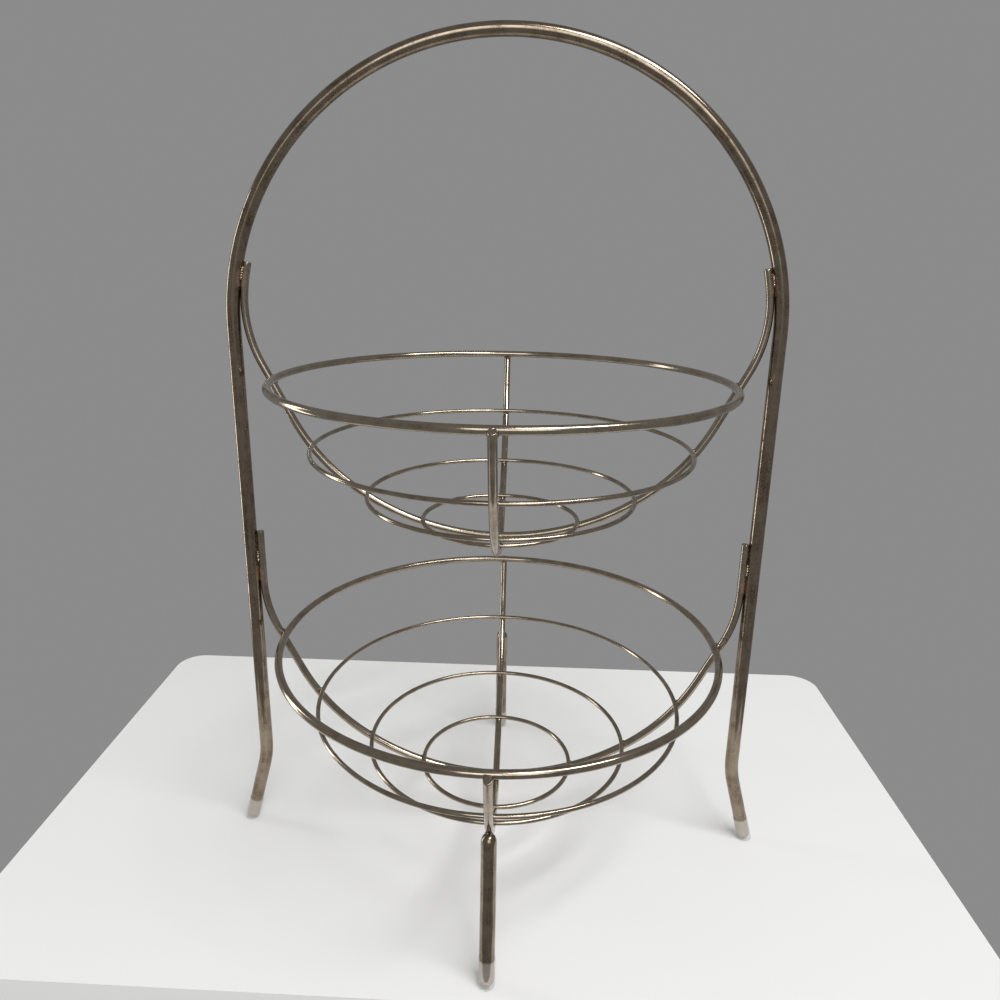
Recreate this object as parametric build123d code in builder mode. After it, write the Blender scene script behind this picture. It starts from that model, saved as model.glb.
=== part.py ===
from build123d import *
from math import asin, cos, degrees, radians, sin, sqrt, tan
import os

# A two-tier wire basket: two equal round bowls of welded wire inside one tall hoop of rod.
# The origin is on the floor under the middle of the hoop. The hoop stands in the XZ plane,
# the front leg is towards -Y and +Z is up. Lengths are millimetres, angles are degrees.

# Wire and rod thickness
rod_width = 8.0
rim_wire = 4.4
rib_wire = 4.4
ring_wire = 2.6

# Bowl: its rim, and the height of the lower bowl and of the upper one over it
rim_radius = 130.0
bowl_height = 38.5
tier_spacing = 159.0

# A rib runs from a wide base arc into a tighter side arc and a straight flare. The radius of
# each arc is a share of the rim's radius, and so is that of each inner ring.
base_arc_share = 1.138
side_arc_share = 0.923
base_arc_angle = 35.0
flare_angle = 62.0
ring_names = ("outer", "middle", "inner")
ring_radius_shares = (0.838, 0.598, 0.350)

# Hoop: a half-round arch round the bowls, legs that lean in a little, and feet that kick out
hoop_clearance = 24.0
arch_centre_height = 323.0
leg_lean_angle = 1.5
foot_bend_height = 47.0
foot_bend_radius = 60.0
foot_spread_angle = 14.0

# Upper ends of the ribs: the long one turns up along the hoop, the cross one ends at the rim
tang_bend_radius = 75.0
tang_end_rise = 65.0
cross_end_length = 2.8

# Short front and rear legs, of the same rod as the hoop
short_leg_shoulder_height = 77.5
short_leg_bend_height = 42.0
short_leg_bend_radius = 60.0
short_leg_spread_angle = 8.3
dome_angles = (0.0, 30.0, 60.0, 80.0)

# Clear caps pushed over the four rod ends
cap_wall = 1.0
cap_height = 13.5
cap_floor = 2.2
cap_chamfer = 1.1

# Welds: how far two wires sink into each other, and the larger beads beside a rib
weld_set = 0.2
leg_weld_set = 0.4
hoop_bead_length = 9.0
hoop_bead_reach = 1.0
leg_bead_length = 4.0
leg_bead_reach = 1.4

# Number of flats round the rod, the wire of rims and ribs, the thin rings and the caps
rod_sides = 8
wire_sides = 6
ring_sides = 4
cap_sides = 16
overrun = 20.0

# Ends and centres of a rib's arcs, outward and upward from the middle of the long rib's bottom
base_arc_radius = rim_radius * base_arc_share
side_arc_radius = rim_radius * side_arc_share
base = radians(base_arc_angle)
flare = radians(flare_angle)
base_end = Vector(base_arc_radius * sin(base), base_arc_radius * (1 - cos(base)))
side_centre = base_end + Vector(-sin(base), cos(base)) * side_arc_radius
side_end = side_centre + Vector(sin(flare), -cos(flare)) * side_arc_radius
flare_way = Vector(cos(flare), sin(flare))


def section(width, sides, facing):
    """A wire's cross-section: flats a wire width apart, one of them square to `facing`."""
    RegularPolygon(width / 2, sides, major_radius=False, rotation=facing + 180 / sides)


def seat(radius, wire):
    """Height and slope at which a ring of this radius and wire lies on the inside of a rib."""
    gap = (rib_wire + wire) / 2 - weld_set
    if radius < (base_arc_radius - gap) * sin(base):
        slope = asin(radius / (base_arc_radius - gap))
        return base_arc_radius - (base_arc_radius - gap) * cos(slope), degrees(slope)
    if radius < side_centre.X + (side_arc_radius - gap) * sin(flare):
        slope = asin((radius - side_centre.X) / (side_arc_radius - gap))
        return side_centre.Y - (side_arc_radius - gap) * cos(slope), degrees(slope)
    along = (radius + gap * sin(flare) - side_end.X) / cos(flare)
    return side_end.Y + along * sin(flare) + gap * cos(flare), flare_angle


# The rim's height over its tier, the arch, and the height of each tier's long rib at its bottom
rim_height, rim_slope = seat(rim_radius, rim_wire)
arch_radius = rim_radius + hoop_clearance
tier_base = {"lower": bowl_height, "upper": bowl_height + tier_spacing}


def make_ring(radius, height, slope, wire, sides):
    """One closed ring of wire, with a flat turned down and out to lie on the ribs."""
    with BuildPart() as ring:
        with BuildSketch(Plane.XZ):
            with Locations((radius, height)):
                section(wire, sides, slope - 90)
        revolve(axis=Axis.Z)
    return ring


def foot_path(start, lean, bend_height, bend_radius, spread):
    """A leg's line from `start` straight down, then bent out towards its foot."""
    end_height = cap_floor + rod_width / 2 * sin(radians(spread))
    corner = Vector(start.X - (start.Y - bend_height) * tan(radians(lean)), bend_height)
    end = Vector(corner.X + (bend_height - end_height) * tan(radians(spread)), end_height)
    return FilletPolyline((start.X, start.Y), (corner.X, corner.Y), (end.X, end.Y), radius=bend_radius)


def make_hoop():
    """The arch, both long legs and their feet, bent from one rod."""
    with BuildPart() as hoop:
        with BuildLine(Plane.XZ) as path:
            arch = JernArc((0, arch_centre_height + arch_radius), (1, 0), arch_radius, -90 - leg_lean_angle)
            start = Vector((arch @ 1).X, (arch @ 1).Z)
            foot_path(start, leg_lean_angle, foot_bend_height, foot_bend_radius, foot_spread_angle)
        with BuildSketch(Plane(path.line @ 0, x_dir=(0, 1, 0), z_dir=(1, 0, 0))):
            section(rod_width, rod_sides, 0)
        sweep()
        mirror(about=Plane.YZ)
    return hoop


def leg_contact():
    """The middle of a short leg's shoulder, and where its trimmed dome meets the cross rib."""
    gap = (rod_width + rib_wire) / 2 - leg_weld_set
    centre = side_centre + Vector(0, tier_base["lower"])
    drop = centre.Y - short_leg_shoulder_height
    shoulder = Vector(centre.X + sqrt((side_arc_radius + gap) ** 2 - drop**2), short_leg_shoulder_height)
    facing = (shoulder - centre).normalized()
    return shoulder, centre + facing * (side_arc_radius + rib_wire / 2), facing


def make_short_leg(plane):
    """A short leg with a rounded top and a kicked-out foot, drawn outward along the plane's X."""
    shoulder, contact, facing = leg_contact()
    outward = plane.x_dir * facing.X + plane.y_dir * facing.Y
    trim = Plane(plane.from_local_coords((contact.X, contact.Y)), z_dir=outward)
    with BuildPart() as leg:
        with BuildLine(plane) as path:
            foot_path(shoulder, 0, short_leg_bend_height, short_leg_bend_radius, short_leg_spread_angle)
        with BuildSketch(Plane(path.line @ 0, x_dir=plane.z_dir, z_dir=(0, 0, -1))):
            section(rod_width, rod_sides, 0)
        sweep()
        for angle in dome_angles:
            rise = rod_width / 2 * sin(radians(angle))
            with BuildSketch(Plane(path.line @ 0, x_dir=plane.z_dir, z_dir=(0, 0, 1)).offset(rise)):
                section(rod_width * cos(radians(angle)), rod_sides, 0)
        loft(ruled=True)
        split(bisect_by=trim, keep=Keep.TOP)
    return leg


def bowl_plane(tier, outward, side):
    """The upright plane of a rib: X outward, Y up, from the bottom of the tier's long rib."""
    return Plane((0, 0, tier_base[tier]), x_dir=outward, z_dir=side)


def seats():
    """Radius, height, slope, wire and flats of the rim, then of each inner ring."""
    yield rim_radius, rim_height, rim_slope, rim_wire, wire_sides
    for share in ring_radius_shares:
        yield rim_radius * share, *seat(rim_radius * share, ring_wire), ring_wire, ring_sides


def tang_shape(tier):
    """A long rib's flare length, bend angle, and tang: its angle on the arch, and its reach.

    The tang lies face to face with the hoop, along the arch where it ends above the arch's
    centre, as in the upper tier, and otherwise along the hoop's straight leg.
    """
    arch_centre = Vector(0, arch_centre_height - tier_base[tier])
    reach = arch_radius - (rod_width + rib_wire) / 2
    end_rise = rim_height + tang_end_rise - arch_centre.Y
    if end_rise > 0:
        bend_start = side_end + Vector(-sin(flare), cos(flare)) * tang_bend_radius - arch_centre
        along = bend_start.dot(flare_way)
        room = along**2 - bend_start.dot(bend_start) + (reach - tang_bend_radius) ** 2
        bend_centre = bend_start + flare_way * (sqrt(room) - along)
        start_angle = degrees(asin(bend_centre.Y / (reach - tang_bend_radius)))
        tang_angle = degrees(asin(end_rise / reach)) - start_angle
        return sqrt(room) - along, 90 + start_angle - flare_angle, tang_angle, reach
    lean = radians(leg_lean_angle)
    up = Vector(sin(lean), cos(lean))
    turn = Vector(cos(lean) - sin(flare), cos(flare) - sin(lean)) * tang_bend_radius
    leg_top = arch_centre + Vector(cos(lean), -sin(lean)) * reach
    flare_length = (leg_top - side_end - turn).cross(up).Z / flare_way.cross(up).Z
    bend_end = side_end + flare_way * flare_length + turn
    tang_length = (arch_centre.Y + end_rise - bend_end.Y) / cos(lean)
    return flare_length, 90 - leg_lean_angle - flare_angle, 0, tang_length


def make_long_rib(tier):
    """The left-to-right rib of a bowl, and the line of its tang that lies along the hoop."""
    plane = bowl_plane(tier, (1, 0, 0), (0, -1, 0))
    flare_length, bend_angle, tang_angle, tang_reach = tang_shape(tier)
    with BuildPart() as rib:
        with BuildLine(plane):
            bottom = JernArc((0, 0), plane.x_dir, base_arc_radius, base_arc_angle)
            side = JernArc(bottom @ 1, bottom % 1, side_arc_radius, flare_angle - base_arc_angle)
            straight = Line(side @ 1, side @ 1 + (side % 1) * flare_length)
            bend = JernArc(straight @ 1, straight % 1, tang_bend_radius, bend_angle)
            if tang_angle:
                tang = JernArc(bend @ 1, bend % 1, tang_reach, tang_angle)
            else:
                tang = Line(bend @ 1, bend @ 1 + (bend % 1) * tang_reach)
        with BuildSketch(Plane(bottom @ 0, x_dir=plane.z_dir, z_dir=plane.x_dir)):
            section(rib_wire, wire_sides, 90)
        sweep()
        with BuildSketch(plane):
            for radius, height, slope, wire, sides in seats():
                with Locations((radius, height)):
                    section(wire, sides, slope - 90)
        extrude(amount=rib_wire, both=True, mode=Mode.SUBTRACT)
        mirror(about=Plane.YZ)
    return rib, tang


def make_cross_rib(tier):
    """The front-to-back rib, dipped in the middle and cut off square just above the rim."""
    dip = rib_wire - weld_set
    slope = radians(seat(rim_radius * ring_radius_shares[-1], ring_wire)[1])
    dip_radius = base_arc_radius - dip / (1 / cos(slope) - 1)
    tangent_point = (base_arc_radius * sin(slope), base_arc_radius * (1 - cos(slope)))
    plane = bowl_plane(tier, (0, 1, 0), (1, 0, 0))
    rise = Vector(cos(radians(rim_slope)), sin(radians(rim_slope)))
    end = plane.from_local_coords(Vector(rim_radius, rim_height) + rise * cross_end_length)
    cut = Plane(end, z_dir=plane.x_dir * rise.X + plane.y_dir * rise.Y)
    with BuildPart() as rib:
        with BuildLine(plane):
            bottom = JernArc((0, -dip), plane.x_dir, dip_radius, degrees(slope))
            run = Line(bottom @ 1, tangent_point)
            lower = JernArc(run @ 1, bottom % 1, base_arc_radius, base_arc_angle - degrees(slope))
            side = JernArc(lower @ 1, lower % 1, side_arc_radius, flare_angle - base_arc_angle)
            Line(side @ 1, side @ 1 + (side % 1) * rim_radius)
        with BuildSketch(Plane(bottom @ 0, x_dir=plane.z_dir, z_dir=plane.x_dir)):
            section(rib_wire, wire_sides, 90)
        sweep()
        split(bisect_by=cut, keep=Keep.BOTTOM)
        with BuildSketch(plane):
            section(rib_wire, wire_sides, 90)
            for radius, height, slope, wire, sides in seats():
                with Locations((radius, height)):
                    section(wire, sides, slope - 90)
        extrude(amount=rib_wire, both=True, mode=Mode.SUBTRACT)
        mirror(about=Plane.XZ)
    return rib


def make_cap(rod, outward):
    """A clear cap round a rod's end, cut flat where it stands on the floor."""
    end = rod.faces().group_by(Axis.Z)[0].sort_by(lambda face: face.center().dot(outward))[-1]
    way = end.normal_at()
    with BuildPart() as cap:
        with BuildSketch(Plane(end.center() - way * (cap_height - cap_floor), z_dir=way)):
            section(rod_width + cap_wall * 2, cap_sides, 0)
        extrude(amount=cap_height + overrun)
        split(bisect_by=Plane.XY, keep=Keep.TOP)
        chamfer(cap.edges().group_by(Axis.Z)[0], cap_chamfer)
        add(rod.part, mode=Mode.SUBTRACT)
    return cap


def groove(seat_corner, reach, seat_turn):
    """Outline of a bead beside a rib, across and outward from the rib's centreline.

    The bead fills the groove between the rib's outer corner and the seat's corner, and
    reaches the same way along the rib's next flat and along the seat's, which is turned
    by `seat_turn` from the flat that the rib lies on.
    """
    corner = Vector(tan(radians(180 / wire_sides)), 1) * (rib_wire / 2)
    facet = radians(360 / wire_sides)
    turn = radians(seat_turn)
    yield corner
    if seat_turn:
        yield corner + Vector(seat_corner, 0)
    yield corner + Vector(seat_corner + reach * cos(turn), reach * sin(turn))
    if seat_turn:
        yield corner + Vector(seat_corner + reach, -reach / 2)
    yield corner + Vector(cos(facet), -sin(facet)) * reach


def make_beads(plane, runs, length, outline):
    """Beads along the middle of each run, mirrored to both sides of a rib and both its ends."""
    with BuildPart() as beads:
        for run in runs:
            margin = (1 - length / run.length) / 2
            bead = run.trim(margin, 1 - margin)
            with BuildSketch(Plane(bead @ 0, x_dir=plane.z_dir, z_dir=bead % 0)):
                Polygon(*outline, align=None)
            sweep(path=bead)
        mirror(about=Plane.XZ)
        mirror(about=Plane.YZ)
    return beads


def keep(builder, name):
    """Names a finished piece and writes its file."""
    builder.part.label = name
    export_step(builder.part, f"parts/{name}.step")


os.makedirs("parts", exist_ok=True)

# The thick rod: hoop and short legs
hoop = make_hoop()
front_leg = make_short_leg(Plane((0, 0, 0), x_dir=(0, -1, 0), z_dir=(-1, 0, 0)))
rear_leg = make_short_leg(Plane((0, 0, 0), x_dir=(0, 1, 0), z_dir=(1, 0, 0)))
keep(hoop, "main_hoop")
keep(front_leg, "front_leg")
keep(rear_leg, "rear_leg")

# Two equal bowls, each of a rim and three rings welded inside two ribs
tangs = []
for tier, height in tier_base.items():
    names = [f"{tier}_rim", *(f"{tier}_{name}_ring" for name in ring_names)]
    for name, (radius, rise, slope, wire, sides) in zip(names, seats()):
        keep(make_ring(radius, height + rise, slope, wire, sides), name)
    long_rib, tang = make_long_rib(tier)
    tangs.append(tang)
    keep(long_rib, f"{tier}_long_rib")
    keep(make_cross_rib(tier), f"{tier}_cross_rib")

# Weld beads beside the four tangs on the hoop, and beside the lower cross rib on the short legs
hoop_flat = rod_width * tan(radians(180 / rod_sides))
rib_flat = rib_wire * tan(radians(180 / wire_sides))
leg_plane = bowl_plane("lower", (0, 1, 0), (1, 0, 0))
leg_facing = leg_contact()[2]
seat_angle = degrees(asin(leg_facing.X))
spread = degrees(leg_bead_length / side_arc_radius)
with BuildLine(leg_plane, mode=Mode.PRIVATE):
    leg_run = CenterArc((side_centre.X, side_centre.Y), side_arc_radius, seat_angle - 90 - spread, spread * 2)
keep(
    make_beads(
        bowl_plane("lower", (1, 0, 0), (0, -1, 0)),
        tangs,
        hoop_bead_length,
        list(groove((hoop_flat - rib_flat) / 2, hoop_bead_reach, 360 / rod_sides)),
    ),
    "hoop_welds",
)
keep(
    make_beads(leg_plane, [leg_run], leg_bead_length, list(groove(0, leg_bead_reach, 0))),
    "leg_welds",
)

# Clear caps on the four feet
for name, rod, outward in (
    ("left_foot_cap", hoop, Vector(-1, 0, 0)),
    ("right_foot_cap", hoop, Vector(1, 0, 0)),
    ("front_foot_cap", front_leg, Vector(0, -1, 0)),
    ("rear_foot_cap", rear_leg, Vector(0, 1, 0)),
):
    keep(make_cap(rod, outward), name)
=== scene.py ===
# %% [markdown]
# # A two-tier wire basket
#
# This lesson dresses the frame of a two-tier wire basket. The real basket is bent
# from three kinds of wire: thick rod for the hoop and the short legs, medium wire
# for the rims and the ribs, and thin wire for the rings inside each bowl. The
# wires are spot-welded where they cross and plated with satin nickel, and the basket
# stands on four clear plastic caps.
#
# The frame draws each wire with a few flats. Here each one becomes a smooth round
# wire on the same line, with its cut end, its welds and its aged plating.

import bpy
import numpy as np
from mathutils import Matrix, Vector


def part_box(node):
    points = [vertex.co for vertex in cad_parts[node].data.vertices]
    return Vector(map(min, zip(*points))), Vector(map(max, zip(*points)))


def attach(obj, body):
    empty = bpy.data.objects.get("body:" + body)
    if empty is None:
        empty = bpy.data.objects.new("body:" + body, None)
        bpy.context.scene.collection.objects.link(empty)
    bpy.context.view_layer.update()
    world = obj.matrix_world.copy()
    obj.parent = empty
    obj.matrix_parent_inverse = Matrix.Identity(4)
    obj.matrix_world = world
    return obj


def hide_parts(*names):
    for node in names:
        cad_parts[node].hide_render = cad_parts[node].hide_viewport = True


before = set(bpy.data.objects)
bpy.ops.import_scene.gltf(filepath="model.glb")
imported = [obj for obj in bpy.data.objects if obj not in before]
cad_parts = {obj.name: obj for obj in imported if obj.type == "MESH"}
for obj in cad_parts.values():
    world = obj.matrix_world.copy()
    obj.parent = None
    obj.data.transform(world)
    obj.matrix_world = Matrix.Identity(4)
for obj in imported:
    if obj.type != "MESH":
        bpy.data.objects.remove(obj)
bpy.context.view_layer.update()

# %% [markdown]
# ## Sizes
#
# Blender works in metres, and wire is thought of in millimetres. A few sizes drive
# every piece, so they are written once. They are the sizes that the frame was drawn
# with, and each finished piece is compared with the box of the node it stands for.
#
# A bowl's outline is a wide arc at the base, a tighter one at the side, and a
# straight flare up to the rim. A rod's end stays `cap_floor` above the floor, two
# wires sink `weld_set` into each other at a weld, and `bevel` rounds a cut edge.

# %% Driving sizes
mm = 0.001
rod_radius = 4.0 * mm
wire_radius = 2.2 * mm
thin_radius = 1.3 * mm

arch_radius = 154.0 * mm
arch_height = 323.0 * mm
leg_lean = np.radians(1.5)
foot_bend = {"height": 47.0 * mm, "radius": 60.0 * mm, "spread": np.radians(14.0)}

rim_radius = 130.0 * mm
base_arc = {"radius": rim_radius * 1.138, "angle": np.radians(35.0)}
side_arc = {"radius": rim_radius * 0.923, "angle": np.radians(27.0)}
flare = base_arc["angle"] + side_arc["angle"]
tier_base = {"lower": 38.5 * mm, "upper": 197.5 * mm}
ring_shares = {"outer": 0.838, "middle": 0.598, "inner": 0.350}

short_leg = {"top": 77.5 * mm, "out": 107.79 * mm}
short_bend = {"height": 42.0 * mm, "radius": 60.0 * mm, "spread": np.radians(8.3)}
cap_floor = 2.2 * mm
cap_height = 13.5 * mm
weld_set = 0.2 * mm
bevel = 0.35 * mm

across_mm = [2 * size / mm for size in (rod_radius, wire_radius, thin_radius)]
print("rod, wire and thin wire across, mm:", np.round(across_mm, 2))

# %% [markdown]
# ## One skin for every wire
#
# A wire is a circle carried along a line. Blender can do that with a curve and a
# bevel depth, but a curve has no say over how the wire thins, rounds off or swells
# at a weld. Here the surface is worked out as one grid of points instead: rows run
# along the wire, columns run round it. The same grid makes rings, where the rows
# close on themselves, and wires with two ends, where each end closes on one point.

# %% Grid to mesh
def skin(name, grids, loop=False, **marks):
    """Turns grids of points, rows along and columns round, into closed shells.

    Columns always close. Rows close too when `loop` is true; otherwise the middle of
    the first row and of the last row becomes a pole. Faces look outwards where the
    columns run clockwise round a wire that is looked at along its rows, first to last.
    Each mark is one value per row and column, or three for "drawn", and is kept on the
    mesh as an attribute for the materials.
    """
    grids = grids.reshape(-1, *grids.shape[-3:])
    shells, rows, cols = grids.shape[:3]
    index = np.arange(shells * rows * cols).reshape(shells, rows, cols)
    behind = index if loop else index[:, :-1]
    ahead = np.roll(index, -1, axis=1) if loop else index[:, 1:]
    beside = [np.roll(behind, -1, 2), np.roll(ahead, -1, 2)]
    quads = np.stack([behind, *beside, ahead], axis=-1)
    faces = quads.reshape(-1, 4).tolist()
    points = grids.reshape(-1, 3)
    if not loop:
        first, last = index[:, 0], index[:, -1]
        pole = index.size + np.arange(shells)[:, None] + 0 * first
        fans = [
            np.stack([pole, np.roll(first, -1, 1), first], -1),
            np.stack([pole + shells, last, np.roll(last, -1, 1)], -1),
        ]
        faces += np.concatenate(fans).reshape(-1, 3).tolist()
        points = np.vstack([points, grids[:, 0].mean(1), grids[:, -1].mean(1)])
    mesh = bpy.data.meshes.new(name)
    mesh.from_pydata(points.tolist(), [], faces)
    mesh.shade_smooth()
    for key, values in marks.items():
        three = key == "drawn"
        kind, field = ("FLOAT_VECTOR", "vector") if three else ("FLOAT", "value")
        values = np.broadcast_to(values, grids.shape if three else grids.shape[:3])
        flat = values.reshape(-1, *values.shape[3:])
        if not loop:
            flat = np.concatenate([flat, values[:, 0].mean(1), values[:, -1].mean(1)])
        attribute = mesh.attributes.new(key, kind, "POINT")
        attribute.data.foreach_set(field, flat.reshape(-1))
    piece = bpy.data.objects.new(name, mesh)
    bpy.context.scene.collection.objects.link(piece)
    return piece


# %% [markdown]
# ## Lines of bent wire
#
# A wire bender feeds straight stock and turns it: a length straight, a length with
# a turn, and so on. Describing a wire by the same list keeps every joint between a
# straight and a bend smooth, because each run starts with the heading that the last
# one ended with. All wires of this basket are flat bends, so two numbers give each
# point of the line.

# %% Bent lines
def bent_line(start, heading, runs, step=1.5 * mm, turn_step=0.05):
    """Points and headings of a flat bent wire.

    A run is a length and a turn, divided so that no part is longer than `step` or turns
    by more than `turn_step`. Along a run the heading grows evenly from its start to its
    start plus the turn. Where the turn is zero the point moves by distance times the
    heading's cosine and sine. Otherwise the radius is length over turn, and the point
    moves by radius times the change in sine and, turned round, in cosine.
    """
    lines, headings, at = [], [], np.array(start, float)
    for length, turn in runs:
        count = max(int(np.ceil(length / step)), int(np.ceil(abs(turn) / turn_step)), 2)
        share = np.linspace(0, 1, count + 1)[:, None]
        way = heading + turn * share
        if turn:
            radius = length / turn
            move = [np.sin(way) - np.sin(heading), np.cos(heading) - np.cos(way)]
            points = at + radius * np.hstack(move)
        else:
            points = at + length * share * [np.cos(heading), np.sin(heading)]
        new = slice(1 if lines else 0, None)
        lines.append(points[new])
        headings.append(way[new, 0])
        at, heading = points[-1], heading + turn
    return np.vstack(lines), np.concatenate(headings)


def mirrored(line, heading):
    """A half line and its mirror image joined at the middle, as one line end to end."""
    back = line[:0:-1] * [-1, 1]
    return np.vstack([back, line]), np.concatenate([-heading[:0:-1], heading])


def arc_run(radius, angle):
    """The run, a length and a turn, of an arc of this radius."""
    return radius * abs(angle), angle


trial_line, trial_heading = bent_line((0, 0), 0, [arc_run(arch_radius, np.pi / 2)])
print("a quarter of the arch ends at, mm:", np.round(trial_line[-1] / mm, 2))
print("and turns by, degrees:", round(np.degrees(trial_heading[-1]), 1))

# %% [markdown]
# ## Rods from lines
#
# At each point of the line the circle stands square to the heading. One of its axes
# lies in the plane of the bends, the other is the plane's normal, so the circle
# never twists. The radius may change along the rod. That gives cut ends their small
# bevel, gives the short legs their round tops, and rounds off the ends in the caps.
#
# Wire is pulled through a die, which leaves fine lines along it. A noise in the
# room's own coordinates can't follow a bend, so each wire also carries coordinates
# of its own, in which the distance along it is shortened.

# %% Drawn lines
random = np.random.default_rng(7)


def drawn_lines(along, angle, radius):
    """Coordinates for the fine lines that the drawing die leaves along a wire.

    The first two are radius times the cosine and sine of the angle round the wire.
    The third is the distance along it, shortened to a twentieth and started at a random
    place, so that a noise read with these three numbers is drawn out along the wire.
    """
    shape = (len(along), angle.size)
    circle = radius * np.stack([np.cos(angle), np.sin(angle)], -1)
    round_way = np.broadcast_to(circle, (*shape, 2))
    shortened = (along / 20 + random.uniform())[:, None, None]
    third = np.broadcast_to(shortened, (*shape, 1))
    return np.concatenate([round_way, third], -1)


def distance_along(line):
    """The distance of each point from the first: the sum of the steps up to it."""
    return np.append(0, np.cumsum(np.linalg.norm(np.diff(line, axis=0), axis=1)))


print("the trial quarter's length, mm:", round(distance_along(trial_line)[-1] / mm, 2))


# %% Rods
def rod(name, line, heading, plane, radius, columns=24, domes=(0, 0), covered=(0, 0)):
    """A round rod along a flat line.

    The line's two numbers go along the plane's first and second axis. A point of the
    surface is the line's point, plus radius times cosine of the angle along the axis in
    the bend's plane, plus radius times sine of the angle along the plane's normal. A
    cut end shrinks through a quarter circle of the bevel to a flat face. An end with a
    dome grows on through a quarter ellipse of that height instead. The lengths in
    `covered` are hidden under a cap at each end, where the plating stayed bright.
    """
    axes = np.array(plane, float)
    normal = np.cross(*axes)
    place = line @ axes
    way = np.stack([np.cos(heading), np.sin(heading)], -1) @ axes
    size = np.full(len(line), radius)
    quarter = np.linspace(0, np.pi / 2, 9)[:-1]
    for dome in domes:
        if dome:
            edge = radius * np.sin(quarter[1:])
            inward = -dome * np.cos(quarter[1:])
            kept = slice(None)
        else:
            edge = radius - bevel + bevel * np.sin(quarter)
            inward = bevel * (1 - np.cos(quarter))
            kept = np.linalg.norm(place - place[0], axis=1) > bevel
        tip = place[0] + inward[:, None] * way[0]
        place = np.vstack([tip, place[kept]])[::-1]
        size = np.concatenate([edge, size[kept]])[::-1]
        way = -np.vstack([np.repeat(way[:1], len(tip), 0), way[kept]])[::-1]
    angle = np.linspace(0, 2 * np.pi, columns, endpoint=False)[None, :, None]
    side = np.cross(normal, way)[:, None, :]
    circle = np.cos(angle) * side + np.sin(angle) * normal
    grid = place[:, None] + size[:, None, None] * circle
    along = distance_along(place)
    marks = weld_marks(grid)
    marks["drawn"] = drawn_lines(along, angle[..., 0], radius)
    marks["bright"] = ((along < covered[0]) | (along > along[-1] - covered[1]))[:, None]
    return skin(name, grid, **marks)


# %% Rings
butt_reach, butt_swell, butt_heat = 1.6 * mm, 0.09, 0.7


def ring(name, radius, height, wire, joint, columns=16, step=2.4 * mm):
    """A closed ring of round wire: a circle of the wire's radius carried round Z.

    The wire swells by a few hundredths at the butt weld, which lies at the angle
    `joint` in degrees, by a bell curve of the distance from it.
    """
    rows = int(2 * np.pi * radius / step)
    start = np.radians(joint)
    turn = np.linspace(0, 2 * np.pi, rows, endpoint=False)[:, None] + start
    angle = np.linspace(2 * np.pi, 0, columns, endpoint=False)[None, :]
    off = radius * np.sin((turn - start) / 2) * 2
    swell = np.exp(-((off / butt_reach) ** 2))
    size = wire * (1 + butt_swell * swell)
    out = radius + size * np.cos(angle)
    up = height + size * np.sin(angle)
    grid = np.stack([out * np.cos(turn), out * np.sin(turn), up], -1)
    marks = weld_marks(grid)
    marks["heat"] = np.maximum(marks["heat"], butt_heat * swell)
    along = radius * (turn[:, 0] - turn[0, 0])
    return skin(name, grid, loop=True, **marks, drawn=drawn_lines(along, angle, wire))


# %% [markdown]
# ## Where wire meets wire
#
# The rings and the rim rest on the inside of the ribs, each at the slope that the rib
# has there. Heights set by eye would leave gaps or sink one wire into the other. The
# rib is made of two arcs and a straight, so the place where a round wire touches it
# can be worked out.

# %% Bowl outline
def on_arc(centre, radius, angle):
    """The point on an arc whose heading there is `angle`."""
    return centre + radius * np.array([np.sin(angle), -np.cos(angle)])


base_centre = np.array([0, base_arc["radius"]])
base_end = on_arc(base_centre, base_arc["radius"], base_arc["angle"])
side_centre = base_end - on_arc(np.zeros(2), side_arc["radius"], base_arc["angle"])
side_end = on_arc(side_centre, side_arc["radius"], flare)
rim_gap = 2 * wire_radius - weld_set
rim_touch = (rim_radius + rim_gap * np.sin(flare) - side_end[0]) / np.cos(flare)
rim_height = side_end[1] + rim_touch * np.sin(flare) + rim_gap * np.cos(flare)
print("flare up to the rim, mm:", round(rim_touch / mm, 2))
print("rim height over its tier, mm:", round(rim_height / mm, 2))


# %% Ring seats
def ring_seat(radius):
    """Height and slope of an inner ring resting on the inside of a rib.

    The ring's middle lies on an arc inside the rib's arc, by both wire radii less the
    weld's depth. The slope is the arc sine of the distance from the arc's centre over
    that smaller radius, and the height follows from its cosine.
    """
    gap = wire_radius + thin_radius - weld_set
    inner = base_arc["radius"] - gap
    if radius < inner * np.sin(base_arc["angle"]):
        slope = np.arcsin(radius / inner)
        return base_arc["radius"] - inner * np.cos(slope), slope
    inner = side_arc["radius"] - gap
    slope = np.arcsin((radius - side_centre[0]) / inner)
    return side_centre[1] - inner * np.cos(slope), slope


rings = {
    name: (rim_radius * share, *ring_seat(rim_radius * share))
    for name, share in ring_shares.items()
}
heights = {name: float(round(seat[1] / mm, 2)) for name, seat in rings.items()}
print("ring heights over their tier, mm:", heights)

# %% [markdown]
# ## Where the welds are
#
# Plating over a weld is darker and warmer than elsewhere, and rust starts there. The
# places where wires cross are known, so each wire's mesh can carry a mark that is
# one at a weld and fades to zero a little way off. A texture painted by hand would
# need a map for each wire; a distance needs none.

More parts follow.
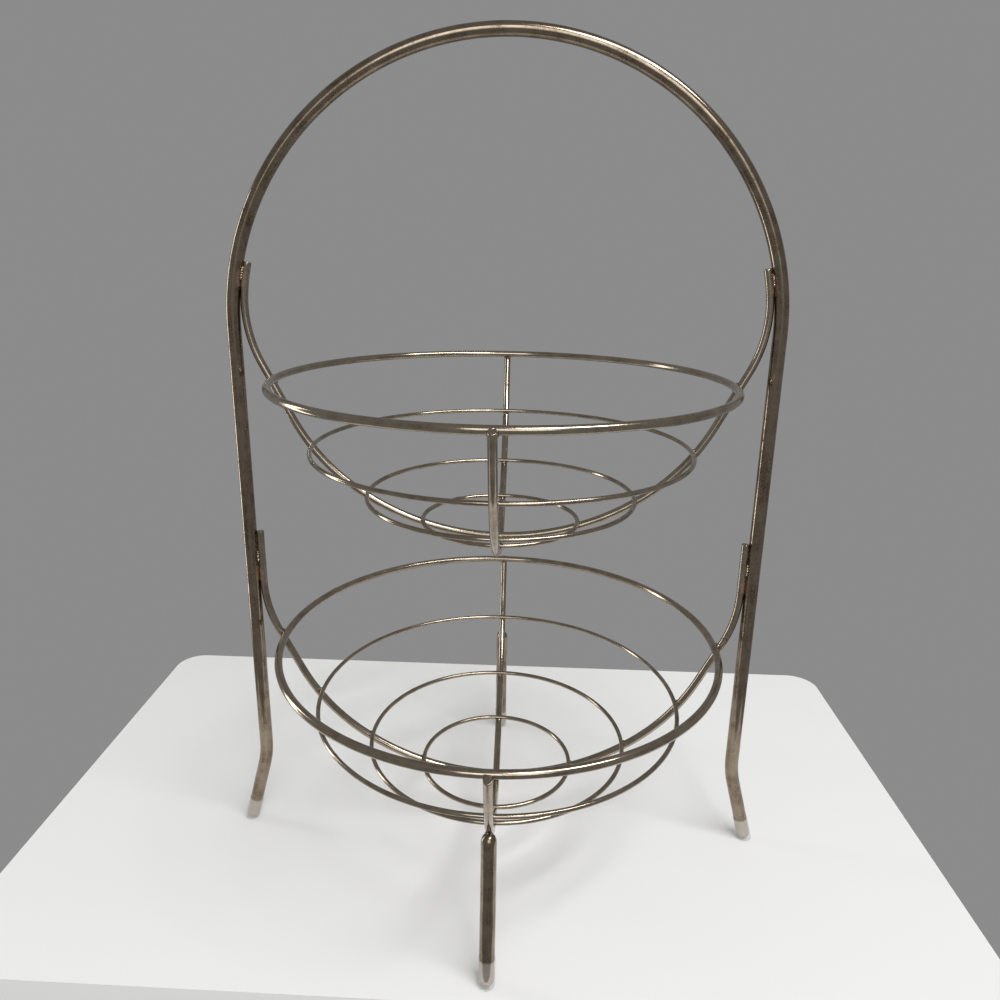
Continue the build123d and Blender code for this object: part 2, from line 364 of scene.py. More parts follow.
# %% Weld places
quarters = ((1, 0), (0, 1), (-1, 0), (0, -1))
crossings = []
for base in tier_base.values():
    seats = [(rim_radius, rim_height, flare, wire_radius)]
    seats += [(*seat, thin_radius) for seat in rings.values()]
    for radius, height, slope, wire in seats:
        out = radius + (wire - weld_set / 2) * np.sin(slope)
        up = base + height - (wire - weld_set / 2) * np.cos(slope)
        crossings += [
            ((out * x, out * y, up), (x, y, 0), slope, wire) for x, y in quarters
        ]
    middle = (0, 0, base - wire_radius + weld_set / 2)
    crossings.append((middle, (1, 0, 0), 0, wire_radius))
spot_places, spot_ways, spot_slopes, spot_sizes = (
    np.array(values, float) for values in zip(*crossings)
)
leg_weld_out, leg_weld_up = 105.16 * mm, 79.96 * mm
leg_spots = np.array([[0, side * leg_weld_out, leg_weld_up] for side in (-1, 1)])
print(len(spot_places), "places where wires cross,", len(leg_spots), "on short legs")

# %% [markdown]
# ## Tangs
#
# Each end of a long rib rises past the rim, bends up and lies against the inside of
# the hoop, where it is welded. Such an end is a tang. The lower bowl's tangs end
# straight, along the leaning legs, and the upper bowl's follow the arch. Rust starts
# at the foot of the groove between tang and hoop, where damp stays longest.

# %% Tang lines
tang_radius = 75 * mm
tang_runs = {
    "lower": [
        (27.65 * mm, 0),
        arc_run(tang_radius, np.pi / 2 - leg_lean - flare),
        (31.39 * mm, 0),
    ],
    "upper": [
        (35.02 * mm, 0),
        arc_run(tang_radius, np.radians(35.376)),
        arc_run(arch_radius - rod_radius - wire_radius, np.radians(5.227)),
    ],
}
tang_lengths = {tier: runs[-1][0] for tier, runs in tang_runs.items()}
bowl = [arc_run(**base_arc), arc_run(**side_arc)]
long_ribs = {
    tier: bent_line((0, base), 0, bowl + tang_runs[tier])
    for tier, base in tier_base.items()
}


def groove(tier, length, beside):
    """The middle `length` of a tang's line, moved `beside` towards the hoop."""
    line, heading = long_ribs[tier]
    to_end = distance_along(line[::-1])[::-1]
    part = np.abs(to_end - tang_lengths[tier] / 2) < length / 2
    way = heading[part]
    return line[part] + beside * np.stack([np.sin(way), -np.cos(way)], -1), way


touching, rust_rows = 0.9, 4
groove_spots, rust_spots = [], []
for tier, tang_length in tang_lengths.items():
    line, _ = groove(tier, touching * tang_length, wire_radius)
    for side in (-1, 1):
        contact = np.stack([side * line[:, 0], 0 * line[:, 0], line[:, 1]], -1)
        groove_spots += list(contact)
        rust_spots += list(contact[:rust_rows])
groove_spots, rust_spots = np.array(groove_spots), np.array(rust_spots)
print(len(groove_spots), "places along the grooves, rust starts at", len(rust_spots))

# %% Marks
spot_reach, leg_reach = 3.6 * mm, 1.8 * mm
rust_reach, groove_reach, groove_rust = 5.0 * mm, 3.4 * mm, 0.85


def nearness(grid, spots, reach):
    """One at a spot, falling off as a bell curve of distance over reach."""
    away = np.full(grid.shape[:-1], np.inf)
    for spot in spots:
        away = np.minimum(away, np.linalg.norm(grid - spot, axis=-1))
    return np.exp(-((away / reach) ** 2))


def weld_marks(grid):
    """The heat mark near any weld, and the rust mark in the grooves beside the hoop."""
    heat = nearness(grid, spot_places, spot_reach)
    heat = np.maximum(heat, nearness(grid, leg_spots, leg_reach))
    foot = nearness(grid, rust_spots, rust_reach)
    rust = np.maximum(foot, groove_rust * nearness(grid, groove_spots, groove_reach))
    return {"heat": heat, "rust": rust}


# %% [markdown]
# ## The hoop and the short legs
#
# One rod makes the handle, both long legs and their feet. It is drawn from the top
# of the arch down one side and mirrored. The short front and rear legs are straight
# rods of the same stock with the same kicked-out foot. Their upper ends were ground
# round before they were welded under the bowl. All four lower ends are slightly
# rounded, and where a cap covers them the plating has stayed bright.

# %% Feet
across, upright, front_to_back = np.eye(3)[[0, 2, 1]]
foot_dome = 1.4 * mm
in_cap = cap_height - cap_floor + foot_dome


def foot_runs(top, lean, bend):
    """Runs from a leg's top down to its foot: straight, bend, straight."""
    turn = lean + bend["spread"]
    back = bend["radius"] * np.tan(turn / 2)
    foot_end = cap_floor + rod_radius * np.sin(bend["spread"])
    return [
        ((top - bend["height"]) / np.cos(lean) - back, 0),
        arc_run(bend["radius"], turn),
        ((bend["height"] - foot_end) / np.cos(bend["spread"]) - back, 0),
    ]


def foot(line, bend, outward):
    """Where a foot ends and the way it points, with `outward` the level way out.

    The way is outward times the spread's sine, less upright times its cosine.
    """
    out, up = line[-1]
    way = np.sin(bend["spread"]) * outward - np.cos(bend["spread"]) * upright
    return out * outward + up * upright, way


# %% Hoop
leg_top = arch_height - arch_radius * np.sin(leg_lean)
arch_run = arc_run(arch_radius, -np.pi / 2 - leg_lean)
half_hoop = bent_line(
    (0, arch_height + arch_radius),
    0,
    [arch_run, *foot_runs(leg_top, leg_lean, foot_bend)],
)
pieces = {
    "main_hoop": rod(
        "hoop_rod",
        *mirrored(*half_hoop),
        plane=(across, upright),
        radius=rod_radius,
        columns=32,
        domes=(foot_dome, foot_dome),
        covered=(in_cap, in_cap),
    )
}
feet = {
    "right": foot(half_hoop[0], foot_bend, across),
    "left": foot(half_hoop[0], foot_bend, -across),
}
hoop_length = 2 * distance_along(half_hoop[0])[-1]
print("rod in the hoop, mm:", round(hoop_length / mm, 1))

# %% Short legs
leg_dome = 1.2 * rod_radius
short_start = (short_leg["out"], short_leg["top"])
short_runs = foot_runs(short_leg["top"], 0, short_bend)
short_line = bent_line(short_start, -np.pi / 2, short_runs)
for name, outward in (("front", -front_to_back), ("rear", front_to_back)):
    pieces[f"{name}_leg"] = rod(
        f"{name}_leg_rod",
        *short_line,
        plane=(outward, upright),
        radius=rod_radius,
        columns=32,
        domes=(leg_dome, foot_dome),
        covered=(0, in_cap),
    )
    feet[name] = foot(short_line[0], short_bend, outward)
for name, (end, _) in feet.items():
    print(name, "foot end, mm:", np.round(end / mm, 2))

# %% [markdown]
# ## Rims and rings
#
# Each bowl has a rim of medium wire and three thin rings, closed by a butt weld. All
# of them lie inside the ribs, so their heights come from the ribs' own curve. Nobody
# lines up the butt welds, so each ring has its own at an angle of its own.

# %% Rims and rings
joints = {
    "lower": {"rim": 152, "outer": 218, "middle": 140, "inner": 283},
    "upper": {"rim": 144, "outer": 55, "middle": 205, "inner": 128},
}
for tier, base in tier_base.items():
    turned = joints[tier]
    pieces[f"{tier}_rim"] = ring(
        f"{tier}_rim_wire",
        rim_radius,
        base + rim_height,
        wire_radius,
        turned["rim"],
        columns=20,
    )
    for name, (radius, height, _) in rings.items():
        pieces[f"{tier}_{name}_ring"] = ring(
            f"{tier}_{name}_ring_wire", radius, base + height, thin_radius, turned[name]
        )
print("rims and rings:", sum(len(turned) for turned in joints.values()))

# %% [markdown]
# ## Ribs
#
# Two ribs carry each bowl. The one that runs left to right rises past the rim, bends
# up and lies along the hoop, where it is welded. The one that runs front to back
# dips in the middle to pass under the other and is cut off just above the rim. The
# dip could be drawn as a step, but pressed wire bends in curves, so it is an arc and
# a short straight that run into the bowl's own arc.

# %% Ribs
dip = 2 * wire_radius - weld_set
dip_slope = rings["inner"][2]
dip_radius = base_arc["radius"] - dip / (1 / np.cos(dip_slope) - 1)
past_rim = 2.8 * mm
cross_runs = [
    arc_run(dip_radius, dip_slope),
    ((base_arc["radius"] - dip_radius) * np.tan(dip_slope), 0),
    arc_run(base_arc["radius"], base_arc["angle"] - dip_slope),
    arc_run(**side_arc),
    (rim_touch + past_rim, 0),
]
for tier, base in tier_base.items():
    cross_rib = bent_line((0, base - dip), 0, cross_runs)
    ribs = {"long": (long_ribs[tier], across), "cross": (cross_rib, front_to_back)}
    for kind, (half, way) in ribs.items():
        name = f"{tier}_{kind}_rib"
        line = mirrored(*half)
        pieces[name] = rod(f"{name}_wire", *line, (way, upright), wire_radius, 20)
print("cross ribs dip under the long ribs by, mm:", round(dip / mm, 2))

# %% [markdown]
# ## Foot caps
#
# Each foot wears a short clear cap, cut level with the floor and rounded at its
# lower edge. Its wall is drawn by a profile of radius and distance along the foot.
# Near the floor the distance is measured from the floor itself, which makes the
# bottom level although the foot leans.

# %% Caps
cap_wall, cap_grip, cap_gap = 0.45 * mm, 0.15 * mm, 0.1 * mm
lip, corner = 0.2 * mm, 1.3 * mm


def foot_cap(name, end, way, columns=40):
    """A clear cap round a rod's end, with a level bottom.

    A profile point is a radius and a distance. Upper points measure the distance back
    from the rod's end along the foot. Lower points measure it from where a line along
    the foot at that radius meets the floor. The lip is a quarter circle of radius `lip`
    outside and of twice that inside, and the lower edge is one of radius `corner`.
    """
    side = np.cross(way, upright) / np.linalg.norm(np.cross(way, upright))
    turn = np.linspace(0, 2 * np.pi, columns, endpoint=False)[:, None]
    around = np.cos(turn) * side + np.sin(turn) * np.cross(way, side)
    wall, bore = rod_radius + cap_wall, rod_radius - cap_grip
    top = cap_floor - cap_height
    curl = np.linspace(0, np.pi / 2, 7)
    sine, cosine = np.sin(curl), np.cos(curl)
    inner_lip = [wall - lip - 2 * lip * cosine, top + 2 * lip * (1 - sine)]
    outer_lip = [wall - lip * (1 - sine), top + lip * (1 - cosine)]
    lower_edge = [wall - corner * (1 - cosine), corner * (1 - sine)]
    upper = np.vstack([
        [[0.5 * bore, -cap_gap], [bore, -cap_gap]],
        np.stack(inner_lip, -1),
        np.stack(outer_lip, -1)[1:],
    ])
    lower = np.vstack([np.stack(lower_edge, -1), [[0.5 * wall, 0]]])
    high = end + upper[:, None, :1] * around + upper[:, None, 1:] * way
    start = end + lower[:, None, :1] * around
    low = start + (lower[:, None, 1:] - start[..., 2:]) / way[2] * way
    return skin(name, np.concatenate([high, low]))


for name, (end, way) in feet.items():
    pieces[f"{name}_foot_cap"] = foot_cap(f"{name}_clear_cap", end, way)
print("caps:", len(feet))

# %% [markdown]
# ## Weld metal
#
# Where a ring crosses a rib, a spot weld has squeezed a little metal out round the
# touching faces. It shows as a small uneven pillow between the wires. On the hoop a
# torch left a short rippled string of metal in the groove on each side of the tang.
# Both are small, but they are what makes the wires look joined and not just laid
# together.

# %% Pillows
def pillows(centres, axes, sizes, rows=9, columns=16):
    """Small uneven ellipsoids: one centre, three axes and three sizes for each.

    A point is the centre plus the first axis times size, cosine of turn and sine of
    tilt, plus the second times size, sine of turn and sine of tilt, plus the third
    times size and cosine of tilt. Two waves of random phase make the size uneven.
    """
    tilt = np.linspace(0, np.pi, rows + 2)[1:-1][None, :, None]
    turn = np.linspace(2 * np.pi, 0, columns, endpoint=False)[None, None, :]
    phase = random.uniform(0, 2 * np.pi, (2, len(centres), 1, 1))
    waves = 0.10 * np.sin(3 * turn + phase[0])
    waves = waves + 0.06 * np.sin(5 * turn + 4 * tilt + phase[1])
    uneven = 1 + waves
    flat = np.sin(tilt)
    shares = [np.cos(turn) * flat, np.sin(turn) * flat, np.cos(tilt) + 0 * turn]
    grid = centres[:, None, None, :] + 0 * uneven[..., None]
    for axis, size, share in zip(axes, sizes, shares):
        reach = np.broadcast_to(size, len(centres))[:, None, None] * uneven * share
        grid = grid + reach[..., None] * axis[:, None, None, :]
    return grid


# %% Spot welds
slope = spot_slopes[:, None]
along_rib = spot_ways * np.cos(slope) + upright * np.sin(slope)
inward = -spot_ways * np.sin(slope) + upright * np.cos(slope)
along_ring = np.cross(inward, along_rib)
wide = 1.05 * spot_sizes + 0.55 * mm
tall = 0.45 * wide
grid = pillows(spot_places, (along_rib, along_ring, inward), (wide, wide, tall))
pieces["spots"] = skin("spot_welds", grid, heat=0.8, rust=0.0)
print("spot welds:", len(grid))

# %% Bead lines
bead_length, bead_beside, bead_sink = 9.0 * mm, 1.75 * mm, 0.25 * mm
tiers = np.repeat(list(tier_base), 4)
hands, fronts = np.tile([[-1, -1, 1, 1], [-1, 1, -1, 1]], 2)[:, :, None]
share = np.linspace(0, 1, 40)
lines = []
for tier in tiers:
    line, heading = groove(tier, bead_length, wire_radius - bead_sink)
    at = np.linspace(0, 1, len(line))
    lines.append([np.interp(share, at, values) for values in (*line.T, heading)])
x, z, way = np.array(lines).transpose(1, 0, 2)
centre = np.stack([hands * x, fronts * bead_beside + 0 * x, z], -1)
outward = np.stack([hands * np.sin(way), 0 * x, -np.cos(way)], -1)
print("bead lines:", len(centre), "of", share.size, "points each")

# %% Hoop welds
# A bead's point is its line's point, plus size times cosine of turn outwards, less
# size times sine of turn to the back. The size is a ripple of two waves of random
# phase, and falls off by the sixth power of the share of the way to the bead's end.
bead_radius, bead_rust = 0.95 * mm, 4.5 * mm
phase = random.uniform(0, 2 * np.pi, (3, len(tiers), 1))
ripple = 1 + 0.16 * np.sin(34 * share + phase[0]) + 0.12 * np.sin(61 * share + phase[1])
size = bead_radius * ripple * (1 - 0.75 * (2 * share - 1) ** 6)
turn = np.linspace(2 * np.pi, 0, 12, endpoint=False)
round_way = (hands * turn)[:, None, :, None]
circle = np.cos(round_way) * outward[:, :, None] - np.sin(round_way) * front_to_back
grid = centre[:, :, None] + size[..., None, None] * circle
rust = nearness(grid, rust_spots, bead_rust)
pieces["hoop_welds"] = skin("hoop_weld_beads", grid, heat=0.5, rust=rust)
print("beads on the hoop:", len(grid))

# %% Leg welds
# Over a leg the cross rib goes `rise` up and `run` outwards for each unit of its
# length. A bead lies along its underside on each side of the leg's top.
rise, run = 0.7295, 0.684
aside, onward, under = 0.9 * mm, 1.3 * mm, 0.3 * mm
half_sizes = 2.7 * mm, 1.25 * mm, 1.0 * mm
facing = np.array([[0, -rise, -run], [0, rise, -run]])
rising = np.array([[0, -run, rise], [0, run, rise]])
centres, axes = [], []
for hand in (-1, 1):
    centres.append(leg_spots + hand * aside * across + onward * rising + under * facing)
    axes.append([rising, np.cross(facing, rising), facing])
grid = pillows(np.vstack(centres), np.concatenate(axes, axis=1), half_sizes)
pieces["leg_welds"] = skin("leg_weld_beads", grid, heat=0.9, rust=0.15)
print("beads on the short legs:", len(grid))

# %% [markdown]
# ## Check each piece against its node
#
# A piece that stands for a node must be where the node is. The spot welds stand
# for no node.

# %% Compare
slots = {"cap": "clear_cap", "hoop": "plated_rod", "leg": "plated_rod"}
slots |= {"welds": "weld_metal", "spots": "weld_metal"}


def corners_and_volume(mesh):
    """Lowest and highest corner, and the volume, positive where faces point outwards.

    Each triangle and the origin span a small pyramid, whose volume is a sixth of the
    dot product of one corner with the cross product of the other two.
    """
    mesh.calc_loop_triangles()
    places = np.empty(len(mesh.vertices) * 3)
    mesh.vertices.foreach_get("co", places)
    corners = np.empty(len(mesh.loop_triangles) * 3, int)
    mesh.loop_triangles.foreach_get("vertices", corners)
    places = places.reshape(-1, 3)
    first, second, third = places[corners.reshape(-1, 3)].transpose(1, 0, 2)
    volume = np.einsum("ij,ij->", first, np.cross(second, third)) / 6
    return places.min(0), places.max(0), volume


for node, piece in pieces.items():
    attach(piece, "root")
    low, high, volume = corners_and_volume(piece.data)
    told = f"{node}: {len(piece.data.polygons)} faces, {volume / mm**3:.0f} cubic mm"
    if node != "spots":
        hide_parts(node)
        frame_low, frame_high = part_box(node)
        off = np.abs(np.array([low - frame_low, high - frame_high])).max() / mm
        told += f", corners within {off:.2f} mm of the frame"
    print(told)

# %% [markdown]
# ## Aged nickel plating
#
# The plating is nickel that has gone warm and a little brown. Two effects make it,
# and every metal here shares them, so each is a node group built once. One is a grain
# of fine specks, small pits and the lines that the die left along the wire. The other
# is a tarnish that drifts in soft patches, gathers at welds, turns to rust in the
# grooves beside the hoop, and stays away from the ends in the caps. The weld metal
# is the same plating over a rougher surface, with no drawn lines.

# %% Node helpers
def new_group(name, inputs, outputs):
    """An empty shader node group with named sockets, and its two end nodes."""
    group = bpy.data.node_groups.new(name, "ShaderNodeTree")
    for label, kind, value in inputs:
        socket = group.interface.new_socket(
            label, in_out="INPUT", socket_type=f"NodeSocket{kind}"
        )
        if value is not None:
            socket.default_value = value
    for label, kind in outputs:
        group.interface.new_socket(
            label, in_out="OUTPUT", socket_type=f"NodeSocket{kind}"
        )
    return group, group.nodes.new("NodeGroupInput"), group.nodes.new("NodeGroupOutput")


def feed(tree, node, inputs):
    """Fills a node's inputs: a socket is linked, and anything else is the value."""
    for key, value in inputs.items():
        if isinstance(value, bpy.types.NodeSocket):
            tree.links.new(value, node.inputs[key])
        else:
            node.inputs[key].default_value = value


def put(tree, kind, inputs=None, **settings):
    """A new node with its settings, and its inputs fed."""
    node = tree.nodes.new(kind)
    for key, value in settings.items():
        setattr(node, key, value)
    feed(tree, node, inputs or {})
    return node


# %% Noise, sums and mixing
def noise(tree, place, scale, detail, rough=0.5):
    """Soft random values from 0 to 1, read at `place`."""
    inputs = {"Vector": place, "Scale": scale, "Detail": detail, "Roughness": rough}
    return put(tree, "ShaderNodeTexNoise", inputs).outputs["Fac"]


def maths(tree, operation, first, second, clamp=False):
    """Two values added, multiplied and so on, held to 0 to 1 where `clamp` is true."""
    inputs = {0: first, 1: second}
    node = put(tree, "ShaderNodeMath", inputs, operation=operation, use_clamp=clamp)
    return node.outputs[0]


def spread(tree, value, low=0.0, high=1.0, start=0.0, end=1.0):
    """The range from `low` to `high` carried over to the one from `start` to `end`."""
    inputs = {"Value": value, "From Min": low, "From Max": high}
    inputs |= {"To Min": start, "To Max": end}
    return put(tree, "ShaderNodeMapRange", inputs).outputs[0]


def mixed(tree, share, first, second):
    """Two colours mixed: the first where the share is 0, the second where it is 1."""
    inputs = {0: share, 6: first, 7: second}
    return put(tree, "ShaderNodeMix", inputs, data_type="RGBA").outputs[2]


# %% Grain group
grain, given, result = new_group(
    "plating_grain",
    [
        ("Place", "Vector", None),
        ("Drawn", "Vector", None),
        ("Speck Size", "Float", 0.7),
        ("Pit Amount", "Float", 0.5),
        ("Line Share", "Float", 0.6),
    ],
    [("Specks", "Float"), ("Height", "Float")],
)
given = given.outputs
millimetres_per_metre, pits_per_speck = 1000.0, 0.23
per_metre = maths(grain, "DIVIDE", millimetres_per_metre, given["Speck Size"])
fine = noise(grain, given["Place"], per_metre, detail=3.0)
lines = noise(grain, given["Drawn"], scale=900.0, detail=3.0, rough=0.6)
both = put(grain, "ShaderNodeMix", {0: given["Line Share"], 2: fine, 3: lines})
specks = spread(grain, both.outputs[0], low=0.38, high=0.60)
apart = maths(grain, "MULTIPLY", per_metre, pits_per_speck)
pits = put(grain, "ShaderNodeTexVoronoi", {"Vector": given["Place"], "Scale": apart})
flat = spread(grain, pits.outputs["Distance"], low=0.05, high=0.2)
pitted = maths(grain, "MULTIPLY", flat, given["Pit Amount"])
height = maths(grain, "ADD", fine, pitted)
feed(grain, result, {"Specks": specks, "Height": height})
print("grain group:", [socket.name for socket in result.inputs if socket.name])

# %% Tarnish group
tarnish, given, result = new_group(
    "plating_tarnish",
    [
        ("Place", "Vector", None),
        ("Specks", "Float", 0.5),
        ("Heat", "Float", 0.0),
        ("Rust", "Float", 0.0),
        ("Bright", "Float", 0.0),
        ("Clean Colour", "Color", (0.6, 0.55, 0.48, 1)),
        ("Brown Colour", "Color", (0.3, 0.24, 0.17, 1)),
        ("Bright Colour", "Color", (0.49, 0.44, 0.38, 1)),
        ("Rust Colour", "Color", (0.17, 0.075, 0.03, 1)),
        ("Amount", "Float", 0.5),
    ],
    [("Colour", "Color"), ("Dull", "Float"), ("Rusty", "Float")],
)
given = given.outputs
drift = noise(tarnish, given["Place"], scale=90.0, detail=5.0, rough=0.65)
patch = spread(tarnish, drift, low=0.38, high=0.62)
speckled = maths(tarnish, "MULTIPLY", patch, given["Specks"])
aged = maths(tarnish, "ADD", speckled, given["Heat"])
brown = maths(tarnish, "MULTIPLY", aged, given["Amount"], clamp=True)
flakes = noise(tarnish, given["Place"], scale=620.0, detail=3.0, rough=0.7)
flakes_in_grooves = maths(tarnish, "MULTIPLY", flakes, given["Rust"])
rusty = spread(tarnish, flakes_in_grooves, low=0.3, high=0.5)
tone = mixed(tarnish, brown, given["Clean Colour"], given["Brown Colour"])
tone = mixed(tarnish, given["Bright"], tone, given["Bright Colour"])
tone = mixed(tarnish, rusty, tone, given["Rust Colour"])
dull = maths(tarnish, "SUBTRACT", brown, given["Bright"], clamp=True)
feed(tarnish, result, {"Colour": tone, "Dull": dull, "Rusty": rusty})
print("tarnish group:", [socket.name for socket in result.inputs if socket.name])

# %% Metal material
bump_depth = 0.12 * mm
rusty_metallic = 0.15


def plated_metal(name, clean, brown, amount, speck_size, line_share, roughness, bump):
    """Nickel plating: the groups feed a metal's colour, roughness and bump."""
    material = bpy.data.materials.new(name)
    material.use_nodes = True
    tree = material.node_tree
    place = put(tree, "ShaderNodeTexCoord").outputs["Object"]
    drawn = put(tree, "ShaderNodeAttribute", attribute_name="drawn").outputs["Vector"]
    inputs = {"Place": place, "Drawn": drawn}
    inputs |= {"Speck Size": speck_size, "Line Share": line_share}
    fine = put(tree, "ShaderNodeGroup", inputs, node_tree=grain).outputs
    inputs = {"Place": place, "Specks": fine["Specks"], "Amount": amount}
    inputs |= {"Clean Colour": (*clean, 1), "Brown Colour": (*brown, 1)}
    for mark in ("heat", "rust", "bright"):
        attribute = put(tree, "ShaderNodeAttribute", attribute_name=mark)
        inputs[mark.title()] = attribute.outputs["Fac"]
    aged = put(tree, "ShaderNodeGroup", inputs, node_tree=tarnish).outputs
    bumps = {"Height": fine["Height"], "Strength": bump, "Distance": bump_depth}
    smooth, dull = roughness
    finish = {
        "Base Color": aged["Colour"],
        "Roughness": spread(tree, aged["Dull"], start=smooth, end=dull),
        "Metallic": spread(tree, aged["Rusty"], start=1.0, end=rusty_metallic),
        "Normal": put(tree, "ShaderNodeBump", bumps).outputs["Normal"],
    }
    feed(tree, tree.nodes["Principled BSDF"], finish)
    return material


rod_metal = plated_metal(
    "aged_rod_plating",
    clean=(0.31, 0.252, 0.190),
    brown=(0.090, 0.062, 0.039),
    amount=0.9,
    speck_size=0.9,
    line_share=0.5,
    roughness=(0.12, 0.30),
    bump=0.035,
)
wire_metal = plated_metal(
    "aged_wire_plating",
    clean=(0.40, 0.343, 0.270),
    brown=(0.145, 0.105, 0.070),
    amount=0.75,
    speck_size=0.6,
    line_share=0.55,
    roughness=(0.12, 0.28),
    bump=0.035,
)
weld_metal = plated_metal(
    "plated_welds",
    clean=(0.36, 0.29, 0.21),
    brown=(0.07, 0.045, 0.025),
    amount=0.9,
    speck_size=0.5,
    line_share=0.0,
    roughness=(0.15, 0.34),
    bump=0.20,
)
print("metals:", rod_metal.name, wire_metal.name, weld_metal.name)

# %% [markdown]
# ## Clear plastic
#
# The caps are soft clear vinyl, pressed tight round the rod's bright end. A wall of
# half a millimetre bends light so little that it can't be seen, but its gloss and a
# faint haze can, most of all at the sides, where one looks along the wall. So the
# plastic is a glossy surface that is nearly see-through face on and less so at a
# grazing angle. Full transmission turns the caps' bottoms black.

# %% Cap material
cap_plastic = bpy.data.materials.new("clear_vinyl")
cap_plastic.use_nodes = True
tree = cap_plastic.node_tree
place = put(tree, "ShaderNodeTexCoord").outputs["Object"]
haze = noise(tree, place, scale=120.0, detail=2.0)
haze_tone = put(tree, "ShaderNodeValToRGB", {"Fac": haze})
haze_tone.color_ramp.elements[0].color = (0.62, 0.60, 0.56, 1)
haze_tone.color_ramp.elements[1].color = (0.80, 0.79, 0.76, 1)
grazing = put(tree, "ShaderNodeLayerWeight", {"Blend": 0.35}).outputs["Facing"]
finish = {
    "IOR": 1.45,
    "Coat Weight": 0.8,
    "Base Color": haze_tone.outputs["Color"],
    "Roughness": spread(tree, haze, start=0.06, end=0.14),
    "Alpha": spread(tree, grazing, start=0.03, end=0.50),
}
feed(tree, tree.nodes["Principled BSDF"], finish)
print("plastic:", cap_plastic.name, "with its own", ", ".join(finish))

# %% Dress each piece
worn = {"clear_cap": cap_plastic, "plated_rod": rod_metal, "weld_metal": weld_metal}
for node, piece in pieces.items():
    material = worn.get(slots.get(node.split("_")[-1]), wire_metal)
    piece.data.materials.append(material)
print(len(pieces), "pieces dressed")

# %% [markdown]
# ## Floor, light and camera
#
# The floor is a plain pale top, and the room round it is an even grey. Metal shows
# what stands round it, so where the pale top ends matters as much as the lamps: the
# rods' middles mirror the grey beyond its near edge and come out dark, and their
# sides mirror the top and come out light. The world has one grey for what is seen
# and mirrored, and a lighter one for the light that falls on the basket.

# %% Floor
near_edge, far_edge, left_edge, right_edge = -0.125, 0.205, -0.29, 0.27
rounding, thickness = 0.02, 0.018
turn = np.linspace(0, 2 * np.pi, 64, endpoint=False)
corner_x = np.where(np.cos(turn) > 0, right_edge - rounding, left_edge + rounding)
corner_y = np.where(np.sin(turn) > 0, far_edge - rounding, near_edge + rounding)
floor_x = corner_x + rounding * np.cos(turn)
floor_y = corner_y + rounding * np.sin(turn)
top = np.stack([floor_x, floor_y, 0 * turn], -1)
round_edge, below = np.arange(len(turn)), len(turn)
after = np.roll(round_edge, -1)
sides = np.stack([after, round_edge, round_edge + below, after + below], -1)
faces = [round_edge.tolist(), (round_edge[::-1] + below).tolist(), *sides.tolist()]
floor_mesh = bpy.data.meshes.new("floor")
floor_mesh.from_pydata(np.vstack([top, top - [0, 0, thickness]]).tolist(), [], faces)
floor = bpy.data.objects.new("floor", floor_mesh)
bpy.context.scene.collection.objects.link(floor)
floor_paint = bpy.data.materials.new("floor_paint")
floor_paint.use_nodes = True
tree = floor_paint.node_tree
paint = {"Base Color": (0.80, 0.80, 0.79, 1), "Roughness": 0.5}
feed(tree, tree.nodes["Principled BSDF"], paint)
floor.data.materials.append(floor_paint)
floor_size = round(right_edge - left_edge, 3), round(far_edge - near_edge, 3)
print("floor, metres:", floor_size)

# %% Room
lit_grey, seen_grey = 0.44, 0.26
world = bpy.data.worlds.new("room")
bpy.context.scene.world = world
world.use_nodes = True
tree = world.node_tree
path = put(tree, "ShaderNodeLightPath").outputs
seen = maths(tree, "ADD", path["Is Camera Ray"], path["Is Glossy Ray"])
seen = maths(tree, "ADD", seen, path["Is Transmission Ray"], clamp=True)
grey = spread(tree, seen, start=lit_grey, end=seen_grey)
feed(tree, tree.nodes["Background"], {"Color": grey})
print("room: lights with", lit_grey, "and is seen as", seen_grey)


# %% Lamps
def placed(body, right, up, back, place):
    """Sets an object's place and its three axes, which are a matrix's columns."""
    columns = np.column_stack([right, up, back, place])
    body.matrix_world = Matrix(np.vstack([columns, [0, 0, 0, 1]]).tolist())
    bpy.context.scene.collection.objects.link(body)


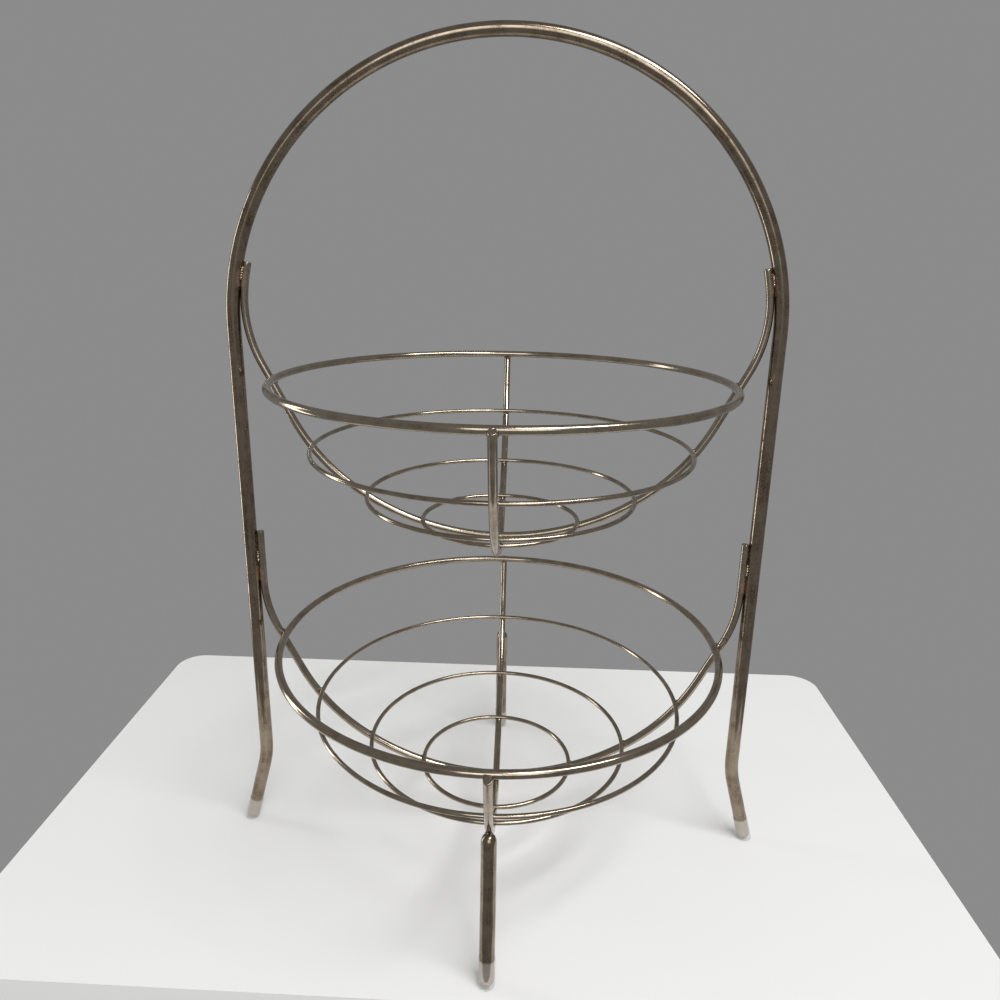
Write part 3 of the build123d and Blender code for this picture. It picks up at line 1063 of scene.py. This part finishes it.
def soft_lamp(name, place, aim, size, power, colour=(1, 1, 1)):
    """An oblong area lamp at `place`, facing `aim`, not seen by the camera itself."""
    lamp = bpy.data.lights.new(name, "AREA")
    lamp.shape = "RECTANGLE"
    lamp.size, lamp.size_y = size
    lamp.energy = power
    lamp.color = colour
    body = bpy.data.objects.new(name, lamp)
    body.visible_camera = False
    back = np.array(place, float) - np.array(aim, float)
    back /= np.linalg.norm(back)
    right = np.cross(upright, back)
    right /= np.linalg.norm(right)
    placed(body, right, np.cross(back, right), back, place)
    print(f"{name}: {power} W over {size[0]} by {size[1]} m")


low_aim, high_aim = (0, 0, 0.2), (0, 0, 0.3)
warm, less_warm = (1.0, 0.98, 0.94), (1.0, 0.99, 0.97)
soft_lamp("left_window", (-1.3, 0.3, 0.20), low_aim, (0.24, 1.3), 5, warm)
soft_lamp("front_wall", (0.2, -2.0, 1.2), low_aim, (1.5, 1.0), 12)
soft_lamp("front_glow", (0.1, -2.2, 0.55), high_aim, (1.3, 0.5), 2.2, less_warm)
soft_lamp("ceiling", (0.75, -0.8, 1.85), high_aim, (1.3, 0.45), 28)

# %% [markdown]
# The camera repeats the photograph's viewpoint: a little above the upper rim, close
# to the basket, tipped down by twelve degrees. The picture's centre is not the
# lens's centre, so the lens has a small shift.

# %% Camera
yaw, pitch, roll = 0.043494, -0.204267, 0.012812
camera_place = (0.012326, -0.447597, 0.360335)
picture, focal, middle = 1000, 792.363, (489.217, 419.948)
level = np.array([np.cos(yaw), np.sin(yaw), 0])
level_ahead = np.array([-np.sin(yaw), np.cos(yaw), 0])
ahead = np.cos(pitch) * level_ahead + np.sin(pitch) * upright
above = np.cross(level, ahead)
right = np.cos(roll) * level + np.sin(roll) * above
up = -np.sin(roll) * level + np.cos(roll) * above
lens = bpy.data.cameras.new("camera")
lens.lens = focal / picture * lens.sensor_width
lens.shift_x = 0.5 - middle[0] / picture
lens.shift_y = middle[1] / picture - 0.5
lens.clip_start = 0.01
camera = bpy.data.objects.new("camera", lens)
placed(camera, right, up, -ahead, camera_place)
bpy.context.scene.camera = camera
bpy.context.scene.view_settings.view_transform = "Standard"
print("lens, mm:", round(lens.lens, 2))
